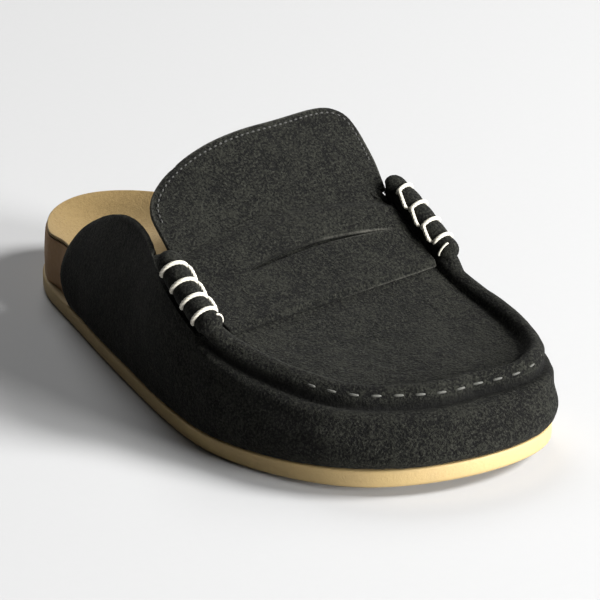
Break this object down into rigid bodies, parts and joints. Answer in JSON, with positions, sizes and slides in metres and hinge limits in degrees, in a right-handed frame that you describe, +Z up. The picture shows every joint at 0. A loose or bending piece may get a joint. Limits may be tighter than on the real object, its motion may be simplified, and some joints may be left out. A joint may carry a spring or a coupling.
{
  "type": "loafer mule",
  "caption": "Backless moccasin-style loafer mule with a raised toe ridge, wide tongue tab, slotted saddle strap, rolled strap ends and a contoured footbed.",
  "frame": {"origin": "on the floor, under the middle of the shoe's length, at the base of the sole", "axes": "+Z up, -Y towards the toe, +Y towards the heel, +X towards the inner (medial) side of this right shoe"},
  "size_m": [0.1174, 0.2663, 0.0868],
  "materials": {
    "outsole": "matt tan rubber",
    "footbed": "dull brown cork",
    "insole": "pale napped lining",
    "upper": "charcoal suede",
    "tongue": "charcoal suede",
    "strap": "charcoal suede",
    "roll_lateral": "charcoal suede",
    "roll_medial": "charcoal suede"
  },
  "bodies": {
    "root": {"outsole": "outsole", "footbed": "footbed", "insole": "insole", "upper": "upper", "tongue": "tongue", "strap": "strap", "roll_lateral": "roll_lateral", "roll_medial": "roll_medial"}
  },
  "joints": []
}
